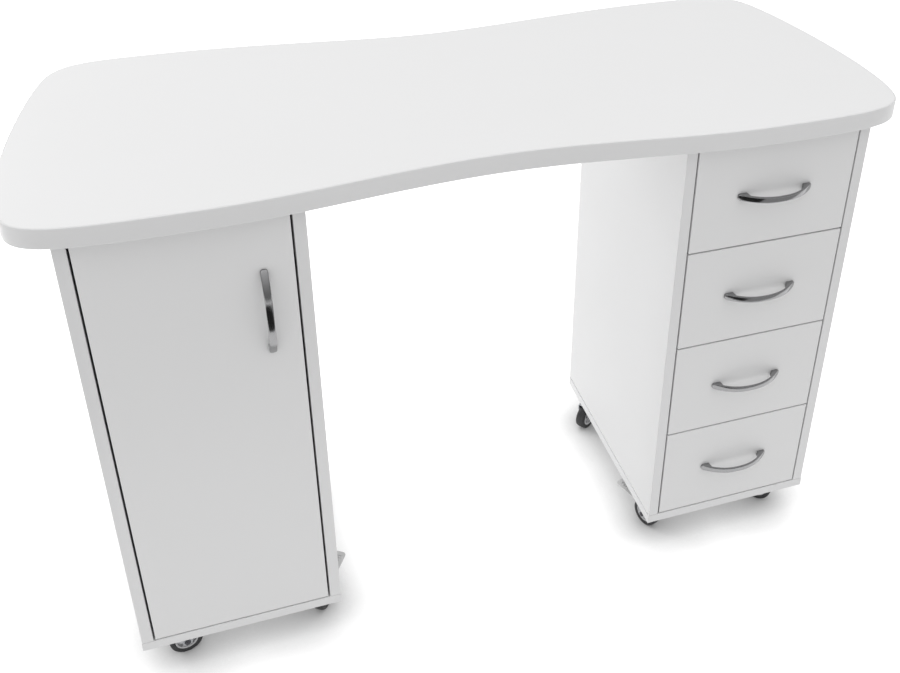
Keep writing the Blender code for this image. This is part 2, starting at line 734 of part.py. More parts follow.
def make_castors():
    wheel = wheel_mesh()
    fork = fork_mesh()
    pedal = pedal_mesh()
    for name, cabinet, end, side, heading, has_brake in CASTORS:
        x, y = castor_place(cabinet, end, side)
        swivel = joint_axis(f"{name}_swivel_axis", (x, y, 0), radians(heading))
        number = name.split("_")[1]
        for kind, mesh, material, offset in (
            ("fork", fork, ZINC, (0, 0, 0)),
            ("wheel", wheel, TYRE, (TRAIL, 0, WHEEL_RADIUS)),
        ):
            piece = bpy.data.objects.new(f"{name}_{kind}", mesh)
            place(piece, material)
            piece.parent = swivel
            piece.location = offset
        if has_brake:
            lever = bpy.data.objects.new(f"brake_pedal_{number}", pedal)
            place(lever, PEDAL)
            lever.parent = swivel
            lever.location = (PEDAL_PIVOT, 0, CROWN_LOW - 0.0035)


make_worktop()
make_carcass("door_cabinet", DOOR_CENTRE_X, -1)
make_carcass("drawer_cabinet", DRAWER_CENTRE_X, 1)
make_shelf()
make_door()
make_drawers()
make_castors()
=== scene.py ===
# %% [markdown]
# # A manicure table, finished around its packed model
# The packed model already has every board, drawer, hinge and castor in its true place and size.
# This lesson gives it its looks: finer shapes where the plain solids are too coarse, the small
# hardware that a joiner would fit, and finishes made only from nodes. Everything is in metres.

# %% Load the packed model
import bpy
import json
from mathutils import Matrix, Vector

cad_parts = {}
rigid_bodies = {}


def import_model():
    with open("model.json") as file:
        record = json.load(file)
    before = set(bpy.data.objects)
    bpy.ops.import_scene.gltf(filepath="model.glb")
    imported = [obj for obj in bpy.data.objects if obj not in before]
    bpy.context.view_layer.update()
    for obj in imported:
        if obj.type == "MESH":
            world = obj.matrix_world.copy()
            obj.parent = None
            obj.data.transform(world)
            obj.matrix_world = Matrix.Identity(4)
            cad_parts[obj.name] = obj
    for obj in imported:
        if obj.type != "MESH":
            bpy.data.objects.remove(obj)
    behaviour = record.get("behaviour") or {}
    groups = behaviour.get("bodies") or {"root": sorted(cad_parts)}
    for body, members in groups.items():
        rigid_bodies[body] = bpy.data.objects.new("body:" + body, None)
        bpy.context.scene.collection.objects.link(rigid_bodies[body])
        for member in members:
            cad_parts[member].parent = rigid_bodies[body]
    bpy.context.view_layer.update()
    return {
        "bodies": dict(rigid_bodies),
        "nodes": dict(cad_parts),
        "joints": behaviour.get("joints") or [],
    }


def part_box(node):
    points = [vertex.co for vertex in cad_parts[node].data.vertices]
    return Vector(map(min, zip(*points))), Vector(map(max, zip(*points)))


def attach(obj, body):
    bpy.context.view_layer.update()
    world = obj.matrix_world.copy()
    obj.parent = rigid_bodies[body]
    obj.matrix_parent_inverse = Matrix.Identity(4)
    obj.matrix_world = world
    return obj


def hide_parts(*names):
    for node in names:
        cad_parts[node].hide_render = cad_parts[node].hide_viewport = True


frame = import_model()

# %% The tools of this lesson
import json
from math import atan2, cos, hypot, pi, radians, sin, sqrt, tau

import bmesh
import bpy
from mathutils import Matrix, Vector

scene = bpy.context.scene
joints = {joint["name"]: joint for joint in frame["joints"]}

# %% [markdown]
# ## The camera
# The table is seen from above, in front of its left cabinet, from not quite two metres away. A lens
# of 47 mm keeps the perspective of that distance. The frame's centre lies off the lens axis, so the
# lens shift does what turning the camera further would do, without bending the uprights.

# %% Camera
lens = bpy.data.cameras.new("table_camera")
lens.sensor_width = 36.0
lens.lens = 46.975
lens.shift_x = -0.1282
lens.shift_y = -0.1276
camera = bpy.data.objects.new("table_camera", lens)
scene.collection.objects.link(camera)
camera.location = (-0.4085, -1.4496, 1.5302)
camera.rotation_euler = (radians(57.78), radians(-2.2416), radians(-20.1958))
scene.camera = camera
print("camera height:", round(camera.location.z, 3))

# %% [markdown]
# ## Nodes written as sums
# A material is a net of nodes, which is slow to read as a list of links. This small class holds one
# socket, so that 0.4 + grain * 0.05 adds the Math nodes for it. One method adds any other node.


# %% A socket that can be added and multiplied
class Wire:
    """One socket of a node tree. Sums add Math nodes; node() adds any other node."""

    def __init__(self, tree, socket=None):
        self.tree = tree
        self.socket = socket

    def node(self, kind, settings=None, inputs=None, output=0):
        made = self.tree.nodes.new(kind)
        for name, value in (settings or {}).items():
            if name == "stops":
                ramp = made.color_ramp
                for stop, (place, level) in zip(ramp.elements, value):
                    stop.position = place
                    stop.color = (level, level, level, 1.0)
            else:
                setattr(made, name, value)
        for name, value in (inputs or {}).items():
            if isinstance(value, Wire):
                self.tree.links.new(value.socket, made.inputs[name])
            else:
                made.inputs[name].default_value = value
        return Wire(self.tree, made.outputs[output])

    def maths(self, operation, *values):
        return self.node("ShaderNodeMath", {"operation": operation}, dict(enumerate(values)))

    def __add__(self, other):
        return self.maths("ADD", self, other)

    def __sub__(self, other):
        return self.maths("SUBTRACT", self, other)

    def __rsub__(self, other):
        return self.maths("SUBTRACT", other, self)

    def __mul__(self, other):
        return self.maths("MULTIPLY", self, other)

    __radd__ = __add__
    __rmul__ = __mul__

    def feed(self, shader, name):
        """Links this wire to a shader's socket."""
        self.tree.links.new(self.socket, shader.inputs[name])


print("a wire's own methods:", [name for name in vars(Wire) if not name.startswith("_")])

# %% [markdown]
# ## The room
# The table stands on a white floor. The light is a soft sky, much brighter overhead than at its
# rim, and a large panel behind on the left, which reaches the knee space. The floor also glows, but
# its glow is painted darker where something stands close above it, a painted contact shadow, so it
# goes grey only near the cabinets. What it throws back on the table is set in the sky's lower half,
# so the two can be chosen apart. A white ring far away closes the view at low angles. A black and a
# grey card in front are seen only by reflections: bright metal needs something dark to mirror, or
# it looks like white plastic.

# %% Things of the room
def stage_mesh(name, corners, faces):
    mesh = bpy.data.meshes.new(name)
    mesh.from_pydata(corners, [], faces)
    made = bpy.data.objects.new(name, mesh)
    scene.collection.objects.link(made)
    return made


def stage_finish(name, grey, glow):
    material = bpy.data.materials.new(name)
    material.use_nodes = True
    shader = material.node_tree.nodes["Principled BSDF"]
    shader.inputs["Base Color"].default_value = (grey, grey, grey, 1.0)
    shader.inputs["Roughness"].default_value = 0.9
    shader.inputs["Specular IOR Level"].default_value = 0.0
    shader.inputs["Emission Color"].default_value = (1.0, 1.0, 1.0, 1.0)
    shader.inputs["Emission Strength"].default_value = glow
    return material


print("a room's thing is made of corners and faces, and has a dull finish that may glow")

# %% Floor
FLOOR_REACH = 9.0
FLOOR_GREY = 0.50
FLOOR_GLOW = 0.84
SHADOW_REACH = 0.10
SHADOW_SAMPLES = 12
corners = [(x * FLOOR_REACH, y * FLOOR_REACH, 0) for x, y in ((-1, -1), (1, -1), (1, 1), (-1, 1))]
floor = stage_mesh("floor", corners, [(0, 1, 2, 3)])
floor_finish = stage_finish("white_floor", FLOOR_GREY, FLOOR_GLOW)
ground = Wire(floor_finish.node_tree)
# Painted contact shadow: the floor's glow is darkened by ambient occlusion where something stands
# close above it.
settings, inputs = {"samples": SHADOW_SAMPLES}, {"Distance": SHADOW_REACH}
painted_shadow_glow = ground.node("ShaderNodeAmbientOcclusion", settings, inputs, output="AO")
(painted_shadow_glow * painted_shadow_glow).feed(floor_finish.node_tree.nodes["Principled BSDF"], "Emission Color")
floor.data.materials.append(floor_finish)
floor.visible_diffuse = False
print("floor:", 2 * FLOOR_REACH, "m across")

# %% Far ring
RING_SIDES = 48
RING_FOOT = -0.5
RING_TOP = 6.0
ring_points = [
    (FLOOR_REACH * cos(tau * i / RING_SIDES), FLOOR_REACH * sin(tau * i / RING_SIDES), z)
    for z in (RING_FOOT, RING_TOP)
    for i in range(RING_SIDES)
]
ring_faces = []
for i in range(RING_SIDES):
    j = (i + 1) % RING_SIDES
    ring_faces.append((i, j, j + RING_SIDES, i + RING_SIDES))
ring = stage_mesh("far_ring", ring_points, ring_faces)
ring.data.materials.append(stage_finish("white_ring", 0.0, 1.0))
for ray in ("visible_diffuse", "visible_glossy", "visible_transmission", "visible_shadow"):
    setattr(ring, ray, False)
print("ring:", RING_SIDES, "sides")

# %% Cards that the metal mirrors
CARD_NEAR = -0.74
CARD_FAR = -5.0
CARD_LIFT = 0.002
CARD_GREY = 0.02
CARDS = (("dark_card", -2.0, 0.2, 0.0), ("grey_card", 0.2, 4.0, 0.5))
for name, left, right, glow in CARDS:
    edges = ((left, CARD_NEAR), (left, CARD_FAR), (right, CARD_FAR), (right, CARD_NEAR))
    card = stage_mesh(name, [(x, y, CARD_LIFT) for x, y in edges], [(0, 1, 2, 3)])
    card.data.materials.append(stage_finish(name, CARD_GREY, glow))
    for ray in ("visible_camera", "visible_diffuse", "visible_transmission", "visible_shadow"):
        setattr(card, ray, False)
print("cards:", [card[0] for card in CARDS])

# %% Sky
SKY_RIM = 0.30
SKY_TOP = 1.95
FLOOR_BOUNCE = 0.96
sky = bpy.data.worlds.new("soft_sky")
scene.world = sky
sky.use_nodes = True
dome = Wire(sky.node_tree)
direction = dome.node("ShaderNodeTexCoord", output="Generated")
height = dome.node("ShaderNodeSeparateXYZ", inputs={0: direction}, output="Z")
up = dome.maths("MAXIMUM", height, 0.0)
below = dome.maths("LESS_THAN", height, 0.0)
level = up * up * (SKY_TOP - SKY_RIM) + SKY_RIM + below * (FLOOR_BOUNCE - SKY_RIM)
level.feed(sky.node_tree.nodes["Background"], "Color")
print("sky:", SKY_RIM, "at the rim and", SKY_TOP, "overhead")

# %% Panel of light
PANEL_PLACE = Vector((-1.5, 1.6, 0.9))
PANEL_TARGET = Vector((0.26, 0.0, 0.45))
PANEL_SIDE = 1.2
PANEL_WATTS = 21.0
panel_data = bpy.data.lights.new("rear_left_panel", "AREA")
panel_data.shape = "SQUARE"
panel_data.size = PANEL_SIDE
panel_data.energy = PANEL_WATTS
panel = bpy.data.objects.new("rear_left_panel", panel_data)
scene.collection.objects.link(panel)
panel.location = PANEL_PLACE
panel.rotation_euler = (PANEL_TARGET - PANEL_PLACE).to_track_quat("-Z", "Y").to_euler()
scene.view_settings.view_transform = "Standard"
print("panel to cabinet:", round((PANEL_TARGET - PANEL_PLACE).length, 2), "m")

# %% [markdown]
# ## White board
# The boards are chipboard faced with white melamine paper. Its print is even, but the press leaves
# a very fine pearl in the surface, and the sheen wanders a little over a board. The cut edges are
# closed with a thin plastic band that is a shade darker and smoother than the faces. A scan of the
# paper could be laid on every board, but noise needs no file and shows no repeat. One function
# makes the finish for boards of each direction, from the object's own coordinates and normals, so
# that it stays the same when a door swings.

# %% A base for every finish
def new_finish(name, colour, roughness, metallic=0.0):
    material = bpy.data.materials.new(name)
    material.use_nodes = True
    shader = material.node_tree.nodes["Principled BSDF"]
    shader.inputs["Base Color"].default_value = (*colour, 1.0)
    shader.inputs["Roughness"].default_value = roughness
    shader.inputs["Metallic"].default_value = metallic
    wire = Wire(material.node_tree)
    place = wire.node("ShaderNodeTexCoord", output="Object")
    return material, shader, wire, place


def noise(wire, place, scale, detail=2.0, roughness=0.5):
    inputs = {"Vector": place, "Scale": scale, "Detail": detail, "Roughness": roughness}
    return wire.node("ShaderNodeTexNoise", inputs=inputs)


def blend_colour(wire, first, second, share):
    """A Mix node on colours: share 0 gives the first."""
    inputs = {0: share}
    for socket, colour in ((6, first), (7, second)):
        inputs[socket] = colour if isinstance(colour, Wire) else (*colour, 1.0)
    return wire.node("ShaderNodeMix", {"data_type": "RGBA"}, inputs, output=2)


def stretched(wire, place, scale):
    """The place with its axes scaled, for grain that runs one way."""
    inputs = {0: place, 1: scale}
    return wire.node("ShaderNodeVectorMath", {"operation": "MULTIPLY"}, inputs)


def bumped(wire, height, strength, depth, shader):
    """Raises the surface by a height from 0 to 1, at most by depth."""
    inputs = {"Strength": strength, "Distance": depth, "Height": height}
    wire.node("ShaderNodeBump", inputs=inputs).feed(shader, "Normal")


print("helpers:", [made.__name__ for made in (new_finish, noise, blend_colour, stretched, bumped)])


# %% Melamine board with banded edges
BOARD_WHITE = (0.735, 0.735, 0.738)
BAND_WHITE = (0.715, 0.715, 0.718)
BOARD_SHADE = (0.722, 0.722, 0.723)
FACING = 0.7
CLOUDS_A_METRE = 7.0
PEARLS_A_METRE = 1400.0


def melamine(name, thin_axis):
    """White board whose faces look along thin_axis, X, Y or Z."""
    material, shader, wire, place = new_finish(name, BOARD_WHITE, 0.42)
    normal = wire.node("ShaderNodeTexCoord", output="Normal")
    along = wire.node("ShaderNodeSeparateXYZ", inputs={0: normal}, output=thin_axis)
    face = wire.maths("GREATER_THAN", wire.maths("ABSOLUTE", along), FACING)
    cloud = noise(wire, place, CLOUDS_A_METRE, 3.0)
    pearl = noise(wire, place, PEARLS_A_METRE, 1.0)
    paper = blend_colour(wire, BOARD_WHITE, BOARD_SHADE, cloud)
    blend_colour(wire, BAND_WHITE, paper, face).feed(shader, "Base Color")
    sheen = 0.30 + face * 0.10 + cloud * 0.06 + (pearl - 0.5) * 0.08
    sheen.feed(shader, "Roughness")
    bumped(wire, pearl * face, 0.10, 0.00012, shader)
    return material


boards = {axis: melamine(f"white_melamine_{axis.lower()}", axis) for axis in "XYZ"}
print("board finishes:", sorted(boards))

# %% [markdown]
# ## Plastic, metal and rubber
# The other finishes differ in how their small marks run. Band and moulded plastic have a fine
# leathery bump, plated steel has clouds of slightly different gloss, the handles are brushed along
# their length before plating, and rubber is dull with dust on its tread. Plain colours would do at
# a distance, but up close it is these marks that tell one from another, so each kind has its own
# small function.

# %% Plastics
def moulded(name, colour, roughness, bump):
    material, shader, wire, place = new_finish(name, colour, roughness)
    cloud = noise(wire, place, 30.0, 3.0)
    grain = noise(wire, place, 2200.0, 2.0)
    darker = tuple(level * 0.965 for level in colour)
    blend_colour(wire, colour, darker, cloud).feed(shader, "Base Color")
    (roughness - 0.04 + cloud * 0.08).feed(shader, "Roughness")
    bumped(wire, grain, bump, 0.0001, shader)
    return material


edge_band = moulded("white_edge_band", BAND_WHITE, 0.34, 0.05)
nylon = moulded("white_nylon", (0.70, 0.70, 0.68), 0.45, 0.1)
hub_grey = moulded("grey_hub", (0.46, 0.46, 0.47), 0.42, 0.2)
pedal_grey = moulded("grey_pedal", (0.60, 0.60, 0.60), 0.48, 0.2)
hardboard = moulded("white_hardboard", (0.70, 0.70, 0.69), 0.55, 0.25)
coated = moulded("white_coated_steel", (0.72, 0.72, 0.71), 0.36, 0.15)
plastics = (edge_band, nylon, hub_grey, pedal_grey, hardboard, coated)
print("moulded and coated:", [finish.name for finish in plastics])


# %% Metals
SPANGLES_A_METRE = 500.0


def plated(name, colour, roughness, streaks=(1.0, 1.0, 1.0), spangle=0.0):
    material, shader, wire, place = new_finish(name, colour, roughness, 1.0)
    cloud = noise(wire, place, 45.0, 4.0)
    brushed = noise(wire, stretched(wire, place, streaks), 900.0, 2.0)
    darker = tuple(level * 0.88 for level in colour)
    inputs = {"Vector": place, "Scale": SPANGLES_A_METRE}
    patches = wire.node("ShaderNodeTexVoronoi", inputs=inputs, output="Color")
    patch = wire.node("ShaderNodeSeparateColor", inputs={0: patches})
    share = cloud * (1.0 - spangle) + patch * spangle
    blend_colour(wire, colour, darker, share).feed(shader, "Base Color")
    (roughness - 0.05 + brushed * 0.10 + patch * (0.12 * spangle)).feed(shader, "Roughness")
    bumped(wire, brushed, 0.06, 0.00005, shader)
    return material


chrome = plated("satin_chrome", (0.31, 0.31, 0.315), 0.16, streaks=(0.03, 1.0, 1.0))
nickel = plated("nickel_plated_steel", (0.60, 0.59, 0.57), 0.28)
zinc = plated("zinc_plated_steel", (0.52, 0.53, 0.55), 0.36, spangle=0.6)
dark_steel = plated("darkened_nut", (0.10, 0.10, 0.11), 0.38)
print("metals:", [finish.name for finish in (chrome, nickel, zinc, dark_steel)])


# %% Rubber
def rubber(name, colour, dust):
    material, shader, wire, place = new_finish(name, colour, 0.55)
    patches = noise(wire, place, 90.0, 4.0, 0.65)
    ramp = {"stops": ((0.45, 0.0), (0.75, 1.0))}
    dusty = wire.node("ShaderNodeValToRGB", ramp, {0: patches})
    share = wire.node("ShaderNodeSeparateColor", inputs={0: dusty})
    blend_colour(wire, colour, dust, share * 0.5).feed(shader, "Base Color")
    (0.5 + share * 0.25).feed(shader, "Roughness")
    grain = noise(wire, place, 1500.0, 2.0)
    bumped(wire, grain, 0.25, 0.0001, shader)
    return material


tyre_black = rubber("black_tyre", (0.018, 0.018, 0.020), (0.055, 0.054, 0.052))
print("finishes:", len(bpy.data.materials))

# %% [markdown]
# ## Boards keep their packed solids
# A board is a flat thing with eased edges, and the packed solid already is that. It could be built
# again with finer edges, but nobody would see them. So the cabinets' boards, the door, the drawers,
# the runners and the hinges keep their solids and only take a finish. The finish for a board is
# chosen by the direction in which the board is thinnest.

# %% Finishes on the packed solids
def refinish(node, material):
    made = frame["nodes"][node]
    made.data.materials.clear()
    made.data.materials.append(material)


def thinnest_axis(node):
    low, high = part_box(node)
    size = high - low
    return "XYZ"[min(range(3), key=lambda i: size[i])]


OTHER_FINISHES = (
    ("_cabinet_back", hardboard),
    ("runner_", coated),
    ("door_hinge_", nickel),
    ("worktop", edge_band),
    ("_handle", chrome),
    ("_fork", zinc),
    ("_wheel", tyre_black),
    ("brake_pedal", pedal_grey),
)
for node in frame["nodes"]:
    found = [material for word, material in OTHER_FINISHES if word in node]
    refinish(node, found[0] if found else boards[thinnest_axis(node)])
for number in range(1, 5):
    refinish(f"drawer_{number}_box", boards["Z"])
print("thin axis of the door:", thinnest_axis("door_panel"))

# %% [markdown]
# ## Rings of points
# Most pieces here are rings of points joined one to the next: a turned wheel, a bent bar, a plate
# with eased edges, the worktop's band. Ready shapes with bevels and cuts could make them too, but
# cuts leave stray faces behind. Here one function joins the rings and closes the ends, and small
# ones after it work out where the rings lie. Built this way, each piece is one closed skin.


# %% Joining rings
def as_mesh(name, bm, sharp):
    mesh = bpy.data.meshes.new(name)
    bm.to_mesh(mesh)
    bm.free()
    mesh.shade_smooth()
    mesh.set_sharp_from_angle(angle=radians(sharp))
    return mesh


def ringed(name, rings, looped=False, sharp=35.0):
    """A closed skin over rings of equally many points."""
    bm = bmesh.new()
    rows = [[bm.verts.new(point) for point in ring] for ring in rings]
    following = rows[1:] + rows[:1] if looped else rows[1:]
    for near, far in zip(rows, following):
        for i in range(len(near)):
            j = (i + 1) % len(near)
            bm.faces.new((near[i], near[j], far[j], far[i]))
    if not looped:
        bm.faces.new(rows[0][::-1])
        bm.faces.new(rows[-1])
    bmesh.ops.recalc_face_normals(bm, faces=bm.faces)
    return as_mesh(name, bm, sharp)


print("rings close at their ends, or join up in a loop")


# %% Turned shapes
def turned(name, profile, steps=48, looped=False, sharp=35.0):
    """(radius, height) points spun about Z."""
    turns = [tau * i / steps for i in range(steps)]
    rings = [[(r * cos(a), r * sin(a), z) for a in turns] for r, z in profile]
    return ringed(name, rings, looped, sharp)


print("a turned shape takes a name and a profile")


# %% Plates with rounded edges
def inset(outline, by):
    """A closed anticlockwise outline moved inwards."""
    moved = []
    for i, point in enumerate(outline):
        along = Vector(outline[(i + 1) % len(outline)]) - Vector(outline[i - 1])
        across = Vector((-along.y, along.x)).normalized()
        moved.append(Vector(point) + across * by)
    return moved


def plate(name, outline, low, high, ease=0.0004, steps=3, sharp=50.0):
    """A flat plate with rounded edges, between two heights."""
    turns = [pi / 2 * i / steps for i in range(steps + 1)]
    levels = [(ease * (1 - sin(a)), low + ease * (1 - cos(a))) for a in turns]
    levels += [(ease * (1 - sin(a)), high - ease * (1 - cos(a))) for a in turns[::-1]]
    rings = [[(p.x, p.y, z) for p in inset(outline, by)] for by, z in levels]
    return ringed(name, rings, sharp=sharp)


def rounded_rectangle(width, depth, radius, steps=6):
    """The outline of a rectangle with rounded corners, anticlockwise."""
    points = []
    for corner in range(4):
        turn = corner * pi / 2
        cx = (width / 2 - radius) * (1 if corner in (0, 3) else -1)
        cy = (depth / 2 - radius) * (1 if corner in (0, 1) else -1)
        for i in range(steps + 1):
            a = turn + pi / 2 * i / steps
            points.append(Vector((cx + radius * cos(a), cy + radius * sin(a))))
    return points


print("points round a square plate:", len(rounded_rectangle(0.040, 0.040, 0.005)))


# %% Joining meshes
def together(name, parts, sharp=35.0):
    """One mesh from (mesh, matrix) pairs."""
    bm = bmesh.new()
    for mesh, matrix in parts:
        moved = mesh.copy()
        moved.transform(matrix)
        bm.from_mesh(moved)
        bpy.data.meshes.remove(moved)
    return as_mesh(name, bm, sharp)


print("meshes before the first piece:", len(bpy.data.meshes))


# %% Fitting a piece
def fit(name, mesh, finish, body, at=None, stands_for=()):
    """Puts a finished piece in place, riding its body."""
    if not mesh.materials:
        mesh.materials.append(finish)
    piece = bpy.data.objects.new(name, mesh)
    scene.collection.objects.link(piece)
    if at is not None:
        piece.matrix_world = at
    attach(piece, body)
    if stands_for:
        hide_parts(*stands_for)
    return piece


# %% Places and curves
def spot(x, y, z, turn=0.0, axis="Z"):
    """A place, and a turn about one axis."""
    return Matrix.Translation((x, y, z)) @ Matrix.Rotation(turn, 4, axis)


def curve_points(start, leave, arrive, end, count):
    """Points along a cubic curve, without its last point."""
    points = []
    for i in range(count):
        t = i / count
        s = 1 - t
        near = start * s**3 + leave * (3 * s * s * t)
        points.append(near + arrive * (3 * s * t * t) + end * t**3)
    return points


IN_PLACE = Matrix.Identity(4)
FACE_DOWN = Matrix.Rotation(pi, 4, "X")
FACE_BACK = Matrix.Rotation(-pi / 2, 4, "X")
FACE_RIGHT = Matrix.Rotation(pi / 2, 4, "Y")
print("a spot a metre up:", tuple(spot(0, 0, 1).translation))

# %% [markdown]
# ## The worktop
# The top is one board cut to a waisted outline: 46 cm deep near its ends and 40 cm at the middle,
# where the client's and the worker's hands meet. The packed solid draws that outline with few
# points. Subdividing it would round its edges too, so the curve is worked out again with many. The
# band is a separate strip round it, with its outer corners rounded over and a hairline joint.

# %% One long edge of the worktop
TOP_LENGTH = 1.210
TOP_DEPTH = 0.460
WAIST_DEPTH = 0.400
CORNER_HEADING = radians(68.0)
# For the front edge and the back edge: the side, how far along the table that edge is widest, how
# far the corner lies in from the table's end and side, and how hard each curve is pulled.
EDGE_SHAPES = (
    (-1, 0.381, (0.012, 0.0403), (0.365, 0.341, 0.613, 0.975)),
    (1, 0.400, (0.054, 0.053), (0.275, 0.3975, 0.63, 0.975)),
)


def long_edge(side, wide_x, corner_in, pulls, steps):
    """Half of a long edge, from the waist to the corner, with the corner and its heading."""
    waist = Vector((0, side * WAIST_DEPTH / 2))
    wide = Vector((wide_x, side * TOP_DEPTH / 2))
    corner = Vector((TOP_LENGTH / 2 - corner_in[0], side * (TOP_DEPTH / 2 - corner_in[1])))
    down = Vector((cos(CORNER_HEADING), -side * sin(CORNER_HEADING)))
    along = Vector((wide_x, 0))
    run = curve_points(waist, waist + along * pulls[0], wide - along * pulls[1], wide, steps)
    turn_start = corner - down * (pulls[3] * corner_in[1] / sin(CORNER_HEADING))
    reach = Vector((pulls[2] * (corner.x - wide.x), 0))
    run += curve_points(wide, wide + reach, turn_start, corner, steps)
    return run, corner, down


print("points in half a long edge:", len(long_edge(*EDGE_SHAPES[0], 4)[0]))

# %% The worktop's outline
OUTLINE_STEPS = 44
END_PULLS = (0.218, 0.191)


def worktop_outline(steps=OUTLINE_STEPS):
    """Both long edges and the end between them, on the right and then on the left."""
    front, front_corner, front_down = long_edge(*EDGE_SHAPES[0], steps)
    back, back_corner, back_down = long_edge(*EDGE_SHAPES[1], steps)
    span = back_corner.y - front_corner.y
    leave = front_corner + front_down * (END_PULLS[0] * span)
    arrive = back_corner + back_down * (END_PULLS[1] * span)
    end = curve_points(front_corner, leave, arrive, back_corner, steps)
    right = front + end + [back_corner] + back[:0:-1] + [back[0]]
    stretch = TOP_LENGTH / 2 / max(p.x for p in right)
    right = [Vector((p.x * stretch, p.y)) for p in right]
    return right + [Vector((-p.x, p.y)) for p in right[-2:0:-1]]


top_low, top_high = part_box("worktop_edge_band")
top_outline = [p + Vector((0, (top_low.y + top_high.y) / 2)) for p in worktop_outline()]
print("outline points:", len(top_outline), "length:", round(2 * max(p.x for p in top_outline), 4))

# %% Board and band
BAND_THICKNESS = 0.002
BAND_ROUND = 0.0017
BAND_BREAK = 0.0001
JOINT_WIDTH = 0.00012
BOARD_BREAK = 0.00012


def top_rings(levels):
    """The worktop's outline at each (distance inwards, height)."""
    return [[(p.x, p.y, z) for p in inset(top_outline, by)] for by, z in levels]


low_z, high_z = top_low.z, top_high.z
turns = [pi / 2 * i / 5 for i in range(6)]
over = [(BAND_ROUND * (1 - sin(a)), high_z - BAND_ROUND * (1 - cos(a))) for a in turns[::-1]]
under = [(by, low_z + high_z - z) for by, z in over[::-1]]
band_section = under + over
band_section += [(BAND_THICKNESS - BAND_BREAK, high_z), (BAND_THICKNESS, high_z - BAND_BREAK)]
band_section += [(BAND_THICKNESS, low_z + BAND_BREAK), (BAND_THICKNESS - BAND_BREAK, low_z)]
band = ringed("worktop_band", top_rings(band_section), looped=True, sharp=60.0)
fit("worktop_band", band, edge_band, "table", stands_for=["worktop_edge_band"])

start = BAND_THICKNESS + JOINT_WIDTH
top_levels = [(start + BOARD_BREAK, low_z), (start, low_z + BOARD_BREAK)]
top_levels += [(start, high_z - BOARD_BREAK), (start + BOARD_BREAK, high_z)]
top_board = ringed("worktop_board", top_rings(top_levels), sharp=30.0)
fit("worktop_board", top_board, boards["Z"], "table", stands_for=["worktop"])
print("worktop thickness:", round(high_z - low_z, 4))

# %% [markdown]
# ## Bow handles
# Each handle is one casting: a crescent, flat on its inner side and crowned outside, whose ends are
# thickened into feet that stand on the board. A curve with a bevel would give a bar of one
# thickness, without feet. So the cut across it is worked out at many places along its length, and
# the cuts are joined. It is a little slimmer in the middle than over its feet.

# %% The cut across a handle
HANDLE_TIP = 0.0025
HANDLE_THICKNESS = 0.0034
HANDLE_FOOT = 0.015
HANDLE_BEND = 2.3
HANDLE_GAP = 0.0003
SLIMMEST = 0.92
FOOT_BLEND = 0.0014
END_ROUND = 0.0038
CROWN = 0.0014
CROWN_STEPS = 8
INNER_EASE = 0.0003


def bow_cut(x, half, rise, width):
    """The handle's cut at x from its middle: (x, away from the board as -y, across)."""
    share = abs(x) / half
    arch = rise - HANDLE_TIP
    outside = HANDLE_TIP + arch * (1 - share**HANDLE_BEND)
    slope = arch * HANDLE_BEND * share ** (HANDLE_BEND - 1) / half
    inside = outside - HANDLE_THICKNESS * hypot(1, slope)
    in_foot = min(1.0, max(0.0, (abs(x) - (half - HANDLE_FOOT)) / FOOT_BLEND + 0.2))
    inside += (HANDLE_GAP - inside) * in_foot**2 * (3 - 2 * in_foot)
    to_end = min(1.0, (half - abs(x)) / END_ROUND)
    across = width / 2 * (SLIMMEST + (1 - SLIMMEST) * share**2) * sqrt(1 - 0.75 * (1 - to_end) ** 2)
    crown = min(CROWN, (outside - inside) * 0.5)
    cut = []
    for i in range(CROWN_STEPS + 1):
        a = pi * i / CROWN_STEPS
        side = 1 if cos(a) >= 0 else -1
        cut.append((side * across * abs(cos(a)) ** 0.45, outside - crown + crown * sin(a) ** 0.6))
    cut += [(-across, inside + INNER_EASE), (-across + INNER_EASE, inside)]
    cut += [(across - INNER_EASE, inside), (across, inside + INNER_EASE)]
    return [(x, -out, z) for z, out in cut]


print("points in one cut:", len(bow_cut(0.0, 0.06, 0.025, 0.01)))


# %% A whole handle
def bow_handle(name, length, rise, width):
    """Cuts from one tip to the other, closer together at the tips and beside the feet."""
    half = length / 2
    wall = half - HANDLE_FOOT
    places = [half - inwards for inwards in (0, 0.0003, 0.0009, 0.0017, 0.0027, 0.0040)]
    places += [half - 0.0040 - (HANDLE_FOOT - 0.0060) * i / 5 for i in range(1, 6)]
    places += [wall + offset for offset in (0.0013, 0.0009, 0.0005, 0.0001, -0.0003)]
    places += [(wall - 0.0006) * i / 18 for i in range(18, 0, -1)]
    places += [0.0] + [-x for x in places[::-1]]
    return ringed(name, [bow_cut(x, half, rise, width) for x in places], sharp=40.0)


print("a handle's feet are", HANDLE_FOOT, "long")


# %% Handles in place
def fit_handle(node, body, upright):
    low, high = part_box(node)
    size = high - low
    length, width = (size.z, size.x) if upright else (size.x, size.z)
    mesh = bow_handle(f"{node}_bow", length, size.y + HANDLE_GAP, width)
    middle = (low + high) / 2
    at = spot(middle.x, high.y + HANDLE_GAP, middle.z, -pi / 2 if upright else 0.0, "Y")
    fit(f"{node}_bow", mesh, chrome, body, at, [node])
    return middle, length


handle_spots = {"door": fit_handle("door_handle", "door", True)}
for number in range(1, 5):
    drawer = f"drawer_{number}"
    handle_spots[drawer] = fit_handle(f"{drawer}_handle", drawer, False)
print("handles:", {name: round(length, 3) for name, (_, length) in handle_spots.items()})

# %% [markdown]
# ## Castors
# A furniture castor is a black tyre on a grey hub, a pressed steel fork, and a ball race under a
# square plate. The fork trails behind the swivel, so the wheel follows whichever way it is pushed.
# Two of the eight have a pedal over the tyre, to brake it. Eight copies could be modelled in place,
# but it is simpler to build one along +X from its swivel and to turn it to each heading, which the
# swivel's and the wheel's joints give.

